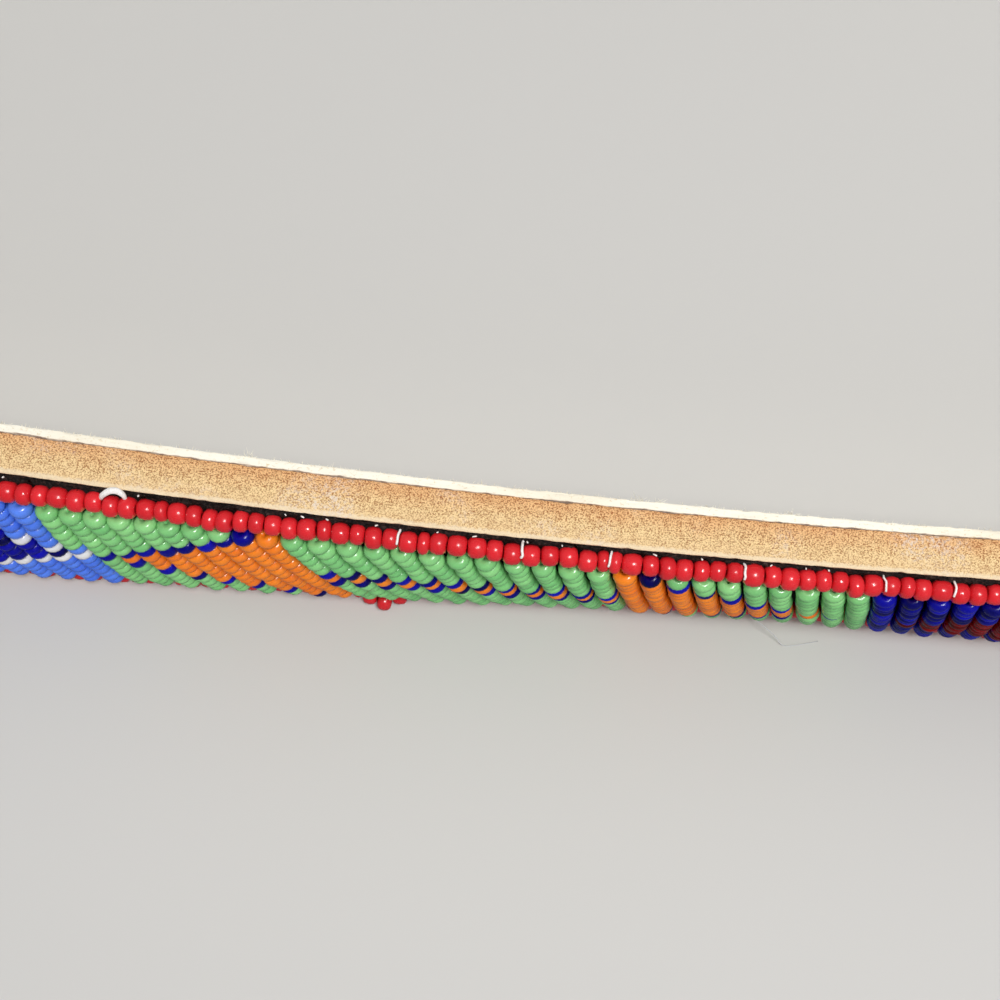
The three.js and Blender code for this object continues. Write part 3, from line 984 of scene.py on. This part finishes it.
top_joints = edge_string("edge_string_top", "edge_beads_top", 1, 41)
bottom_joints = edge_string("edge_string_bottom", "edge_beads_bottom", -1, 42)

# %% [markdown]
# ## Stitches and loose ends
#
# White thread ties the edge strings down: here and there a stitch comes out of the dark
# leather and goes over the string between two beads. Between the stitches, short ends stick
# out of the leather, one end has pulled up into a loop, and a clear nylon end has dropped on
# the table. A thread is a thin tube round a smooth path. In the photograph's stretch the
# places are those seen there, elsewhere they are seeded.

# %% Stitches over the edge strings
seen_stitches = front_middle + np.array([-8.8, 5.5, 16.0, 30.1, 45.0, 54.4])
seen_ends = front_middle + np.array([
    -52.7, -37.5, -21.1, -19.3, -16.5, -10.7, -3.9, 0.4, 6.0, 9.9, 20.1, 25.5, 33.4, 37.2, 39.7])
seen_stretch = 62.0
stitch_spacing = 12.4
thread_inside = 2.6  # outwards, where a stitch leaves the dark leather


def over_string(distance, upward, rng):
    """A stitch from the dark leather over the string, between two beads."""
    turn = np.radians([150, 128, 108, 88, 68, 50])
    reach = 1.32 - 0.04 * np.arange(6)
    height = string_reach + reach * np.sin(turn)
    height = mid_height + upward * np.concatenate([[mid_height - 1.0], height])
    outwards = np.concatenate([[thread_inside], string_out + reach * np.cos(turn)])
    along = distance + rng.normal(0, 0.07, 7) + np.linspace(-0.12, 0.12, 7) * rng.normal(0, 1)
    return smooth_path(on_belt(along, height, outwards), 2)


def loose_end(distance, upward, rng):
    """A short end that sticks out of the dark leather's edge."""
    rise = np.array([-0.3, 0.15, 0.3]) * rng.uniform(0.7, 1.3)
    height = mid_height + upward * (mid_height - 0.7 + rise)
    along = distance + np.array([0, 0.05, 0.25]) * rng.normal(0, 1)
    return on_belt(along, height, np.array([2.65, 2.75, 2.9]))


def with_seen(places, seen):
    """Seeded places outside the photograph's stretch, and the seen ones in it."""
    return np.concatenate([places[np.abs(places - front_middle) > seen_stretch], seen])


rng = np.random.default_rng(61)
paths, radii = [], []
for joints, upward in ((top_joints, 1), (bottom_joints, -1)):
    knots = np.arange(beaded_start + 5, beaded_end - 4, stitch_spacing)
    knots = knots + rng.normal(0, 2.0, len(knots))
    for distance in with_seen(knots, seen_stitches) if upward > 0 else knots:
        joint = joints[np.argmin(np.abs(joints - distance))]
        paths.append(over_string(joint, upward, rng))
        radii.append(rng.uniform(0.12, 0.17))
    ends = rng.uniform(beaded_start, beaded_end, 70)
    for distance in with_seen(ends, seen_ends) if upward > 0 else ends:
        paths.append(loose_end(distance, upward, rng))
        radii.append(rng.uniform(0.06, 0.1))
# distance from the front's middle, height and outwards of the large loop
loop = np.array([
    (-41.7, 30.9, 3.5), (-41.3, 31.7, 3.3), (-40.5, 32.2, 2.9),
    (-39.7, 32.2, 2.8), (-39.1, 31.8, 3.0), (-38.9, 31.2, 3.3)])
paths.append(smooth_path(on_belt(front_middle + loop[:, 0], loop[:, 1], loop[:, 2]), 5))
radii.append(0.16 + 0.26 * np.sin(np.linspace(0.3, 2.9, len(paths[-1]))))
stitches = make_piece("stitches", *tubes(paths, radii, 6), [thread_white])
finish_piece(stitches, None)
print(len(paths), "threads")

# %% The nylon end on the table
nylon = [
    on_belt(front_middle + 36.6, 6.0, 4.6), (38.03, -81.95, 4.0), (41.0, -83.49, 2.0),
    (42.62, -84.44, 0.3), (44.58, -84.22, 0.12), (47.4, -83.37, 0.12)]
nylon_end = make_piece("nylon_end", *tubes([smooth_path(nylon, 6)], [0.05], 6), [clear_nylon])
finish_piece(nylon_end, None)

# %% [markdown]
# ## Fuzz on the cut leathers
#
# A knife leaves short fibres standing on a leather's cut edge, longest on the soft lining.
# Each fibre is a bent tube a few hundredths of a millimetre thick. All of one leather's
# fibres are one mesh with that leather's own finish.

# %% Fibres
fibre_sides = 3


def fibres_on(name, slot, roots, ways, lengths, radius, material, rng):
    """roots and ways are places and directions on the straight belt."""
    lengths = lengths[:, None]
    ways = unit(ways) * lengths
    bend = rng.normal(0, 0.22, ways.shape) * lengths
    steps = [roots, roots + ways * 0.5 + bend * 0.35, roots + ways + bend]
    paths = np.stack([on_belt(*step.T) for step in steps], 1)
    taper = np.array([1.0, 0.8, 0.35])
    points, faces = tubes(paths, [radius * taper] * len(paths), fibre_sides)
    place = np.repeat(roots, len(steps) * fibre_sides, 0)
    finish_piece(make_piece(name, points, faces, [material], place=place), slot)


rng = np.random.default_rng(62)
seen_low, seen_high = front_middle - 66, front_middle + 66
tufts = front_middle + np.array([-26.1, 18.1, 20.4, 35.1])
tuft_fibres = 12 * len(tufts)
near = rng.uniform(seen_low, seen_high, 700)
far = rng.uniform(90, 810, 500)
in_tufts = np.repeat(tufts, 12) + rng.normal(0, 0.35, tuft_fibres)
at = np.concatenate([near, far, in_tufts])
count = len(at)
in_tuft = np.arange(count) >= count - tuft_fibres
roots = np.stack([at, np.full(count, 31.8), rng.uniform(-3.2, -2.9, count)], 1)
ways = [rng.normal(0, 0.7, count), rng.uniform(0.1, 0.8, count), rng.uniform(-1.2, -0.2, count)]
lengths = np.where(in_tuft, rng.uniform(0.5, 1.1, count), rng.uniform(0.12, 0.4, count))
ways = np.stack(ways, 1)
fibres_on("lining_fuzz", "cream_leather", roots, ways, lengths, 0.03, lining_leather, rng)

near = rng.uniform(seen_low, seen_high, 420)
wide_strip = rng.uniform(front_middle - 45, front_middle - 24, 130)
far = rng.uniform(beaded_start, beaded_end, 400)
at = np.concatenate([near, wide_strip, far])
count = len(at)
roots = np.stack([at, np.full(count, 31.0), rng.uniform(2.1, 2.9, count)], 1)
ways = [rng.normal(0, 0.8, count), rng.uniform(0.6, 1.2, count), rng.normal(0, 0.4, count)]
lengths = rng.uniform(0.3, 0.75, count)
ways = np.stack(ways, 1)
fibres_on("dark_fringe", "dark_leather", roots, ways, lengths, 0.06, dark_leather, rng)

# %% [markdown]
# ## The buckle
#
# The photograph doesn't show the buckle, so this is a plain one of the usual kind: a frame
# bent from flat bar, a folded sheet clip that holds the strap's end round the frame's heel,
# and a round prong. Its sizes are the solid's. Each part is a section swept along a path,
# because that gives the soft corners of worked metal.

# %% The buckle's sizes
frame_length = 36.0
frame_bar = 3.4
frame_thickness = 2.6
frame_clearance = 1.0
frame_corner = 4.0
corner_steps = 9
fold_steps = 17
clip_length = 15.0
prong_radius = 1.3
prong_overhang = 3.0
clip_inner = lining_inner - seat_gap - clip_plate
window_height = billet_width + 2 * frame_clearance
clip_height = billet_width - 2 * frame_clearance
bar_reach = math.hypot(frame_bar, frame_thickness) / 2
heel_x = bar_reach + seat_gap
heel_y = (clip_outer + clip_inner) / 2
far_bar_x = frame_length - frame_bar / 2
rise_under_bar = float(between(rise_rows, fastened_length - far_bar_x + bar_reach))
far_bar_y = rise_under_bar + core_outer + seat_gap + bar_reach


def swept(path, normals, up_way, section, closed):
    """A section of (across, up) points, swept along a path with a normal at each point."""
    across, up = section[None, :, :1], section[None, :, 1:]
    rings = path[:, None] + normals[:, None] * across + up * up_way
    return rings.reshape(-1, 3), ring_faces(len(path), len(section), closed=closed)


def soft_section(width, height, corner, steps=4):
    """A rectangle with round corners."""
    points = []
    for quarter, (sx, sy) in enumerate(((1, 1), (-1, 1), (-1, -1), (1, -1))):
        for turn in np.radians(np.linspace(quarter * 90, quarter * 90 + 90, steps)):
            x = sx * (width / 2 - corner) + corner * math.cos(turn)
            y = sy * (height / 2 - corner) + corner * math.sin(turn)
            points.append((x, y))
    return np.array(points)


# %% The frame, tilted from the heel up to the far bar
upright = np.array([0.0, 0.0, 1.0])
run, climb = far_bar_x - heel_x, far_bar_y - heel_y
tilt = math.atan2(climb, run)
run_way = np.array([math.cos(tilt), math.sin(tilt), 0])
frame_up = np.array([-math.sin(tilt), math.cos(tilt), 0])
outline = soft_section(
    math.hypot(run, climb), window_height + frame_bar, frame_corner - frame_bar / 2, corner_steps)
middle = np.array([(heel_x + far_bar_x) / 2, (heel_y + far_bar_y) / 2, mid_height])
frame_path = middle + outline[:, :1] * run_way + outline[:, 1:] * upright
turns = np.radians([t for q in range(4) for t in np.linspace(q * 90, q * 90 + 90, corner_steps)])
frame_normals = np.cos(turns)[:, None] * run_way + np.sin(turns)[:, None] * upright
bar_section = soft_section(frame_bar, frame_thickness, 0.7)
frame_part = swept(frame_path, frame_normals, frame_up, bar_section, True)

# %% The clip, folded round the heel bar
sheet_reach = (clip_outer - clip_inner - clip_plate) / 2
fold = np.radians(np.linspace(90, -90, fold_steps))
fold_normals = np.stack([np.cos(fold), np.sin(fold), np.zeros(fold_steps)], 1)
heel = np.array([heel_x, heel_y, mid_height])
straight = np.linspace(-clip_length, heel_x, 6)[:-1]
plates = []
for xs, way in ((straight, 1), (straight[::-1], -1)):
    plates.append(np.stack([xs, np.full(5, heel_y + way * sheet_reach), np.full(5, mid_height)], 1))
clip_path = np.concatenate([plates[0], heel + sheet_reach * fold_normals, plates[1]])
plate_normals = [np.tile([0, way, 0], (5, 1)) for way in (1.0, -1.0)]
clip_normals = np.concatenate([plate_normals[0], fold_normals, plate_normals[1]])
clip_section = soft_section(clip_plate, clip_height, 0.3)
clip_part = swept(clip_path, clip_normals, upright, clip_section, False)

# %% The prong, and the three parts as one piece
under_tip = lining_inner + tip_on_clip - seat_gap - prong_radius
over_tip = core_outer + tip_on_clip + seat_gap + prong_radius
over_bar = far_bar_y + (frame_thickness + prong_radius) / 2
prong_line = [
    (heel_x, heel_y), (heel_x + 2.6, under_tip - 0.6), (prong_inset - 0.2, under_tip + 1.6),
    (prong_inset + 0.5, over_tip - 0.9), (prong_inset + 3.4, over_tip + 0.1),
    (far_bar_x, over_bar), (frame_length + prong_overhang, over_bar - 0.3)]
prong_path = smooth_path([(x, y, mid_height) for x, y in prong_line], 6)
prong_shares = np.linspace(0, 1, len(prong_path))
prong_radii = np.interp(prong_shares, [0, 0.7, 0.94, 1.0], [prong_radius, prong_radius, 1.1, 0.55])

points, faces = [], []
for part_points, part_faces in (frame_part, clip_part, tubes([prong_path], [prong_radii], 16)):
    first = sum(len(part) for part in points)
    points.append(part_points)
    faces += [tuple(first + corner for corner in face) for face in part_faces]
buckle = make_piece("steel_buckle", np.concatenate(points) + on_belt(0, 0, 0), faces, [steel])
finish_piece(buckle, "buckle_steel", "buckle")

# %% [markdown]
# ## Floor, light and camera
#
# A plain pale floor and soft studio light show the object without a story. One small lamp
# above the camera puts a crisp highlight on each glass bead. A wide lamp in front and a soft
# sky fill in the rest, and the glass doesn't mirror them. The camera looks down at the belt
# at the photograph's angle: its place, tilt, turn and lens were found by fitting the strap's
# edges to the picture.

# %% Floor
floor_reach = 9
corner_ways = ((-1, -1), (1, -1), (1, 1), (-1, 1))
floor_corners = [(x * floor_reach, y * floor_reach, 0) for x, y in corner_ways]
floor_mesh = bpy.data.meshes.new("floor")
floor_mesh.from_pydata(floor_corners, [], [(0, 1, 2, 3)])
floor = bpy.data.objects.new("floor", floor_mesh)
bpy.context.scene.collection.objects.link(floor)
floor_paint, tree, shader = new_material("pale_floor")
surface(tree, shader, colour(204, 202, 198), 0.9)
floor_mesh.materials.append(floor_paint)
floor.visible_glossy = False  # so that the dark beads don't mirror it


# %% Lights
def lamp(name, kind, strength, place=(0, 0, 0)):
    light = bpy.data.lights.new(name, kind)
    light.energy = strength
    made = bpy.data.objects.new(name, light)
    made.location = place
    bpy.context.scene.collection.objects.link(made)
    return made, light


# place, aim, width in metres, watts, seen in reflections
lamp_rows = {
    "key": ((0.1, -0.16, 0.55), (0, -0.08, 0), 0.15, 1.9, True),
    "soft_front": ((0.5, -0.9, 0.5), (0, -0.08, 0.01), 0.7, 2.0, False),
}
for name, (place, aim, width, watts, mirrored) in lamp_rows.items():
    made, light = lamp(name, "AREA", watts, place)
    light.shape = "DISK"
    light.size = width
    made.rotation_euler = (Vector(aim) - Vector(place)).to_track_quat("-Z", "Y").to_euler()
    made.visible_glossy = mirrored
soft_sky, light = lamp("soft_sky", "SUN", 0.95)
light.angle = math.radians(80)
soft_sky.rotation_euler = (math.radians(-12), math.radians(-16), 0)
soft_sky.visible_glossy = False

world = bpy.data.worlds.new("studio")
world.use_nodes = True
tree = world.node_tree
background = tree.nodes["Background"].inputs
background["Color"].default_value = (0.9, 0.93, 1.0, 1)
seen = node(tree, "LightPath").outputs["Is Camera Ray"]  # the wall looks paler than it shines
feed(tree, background["Strength"], ranged(tree, seen, 0, 1, 0.16, 0.55))
bpy.context.scene.world = world

# %% Camera
camera_place = Vector((2.43, -110.27, 165.06)) * MM
camera_down, camera_turn, camera_roll = (math.radians(v) for v in (75.82, 0.14, 6.4))
sensor_width = 36
focal_share = 1.2289  # of the sensor's width
level_way = Vector((math.sin(camera_turn), math.cos(camera_turn), 0))
look = level_way * math.cos(camera_down) - Vector((0, 0, math.sin(camera_down)))
right = Vector((math.cos(camera_turn), -math.sin(camera_turn), 0))
above = right.cross(look)
x_axis = right * math.cos(camera_roll) + above * math.sin(camera_roll)
y_axis = above * math.cos(camera_roll) - right * math.sin(camera_roll)
turned = Matrix((x_axis, y_axis, -look)).transposed().to_4x4()
camera_data = bpy.data.cameras.new("camera")
camera_data.sensor_width = sensor_width
camera_data.lens = sensor_width * focal_share
camera_data.clip_start = 0.01
camera = bpy.data.objects.new("camera", camera_data)
camera.matrix_world = Matrix.Translation(camera_place) @ turned
bpy.context.scene.collection.objects.link(camera)
bpy.context.scene.camera = camera
bpy.context.scene.view_settings.view_transform = "Standard"
